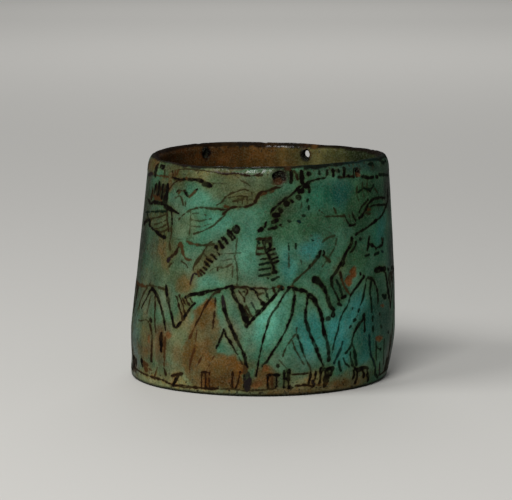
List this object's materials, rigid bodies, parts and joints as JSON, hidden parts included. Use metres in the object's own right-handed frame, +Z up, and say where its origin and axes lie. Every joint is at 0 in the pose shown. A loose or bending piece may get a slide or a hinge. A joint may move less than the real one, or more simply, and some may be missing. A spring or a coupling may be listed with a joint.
{
  "type": "pyxis",
  "caption": "Open cylindrical cosmetic box of painted blue-green faience: a tapered wall with a rolled rim and lashing holes, and a floor disc luted into its foot. Lid lost.",
  "frame": {"origin": "on the ground under the middle of the vessel's bounding box", "axes": "+Z up out of the mouth; the decorated front that the picture shows faces -Y; +X to the right of that front"},
  "size_m": [0.07, 0.07, 0.0589],
  "materials": {
    "painted_faience": "semi-matt blue-green faience glaze with brown-black painted ornament, stained and chipped",
    "floor_faience": "worn olive glaze over a pale brown body",
    "quartz_slip": "matt, gritty fired quartz slip"
  },
  "bodies": {
    "root": {"wall": "painted_faience", "floor_disc": "floor_faience", "luting_ring": "quartz_slip"}
  },
  "joints": []
}
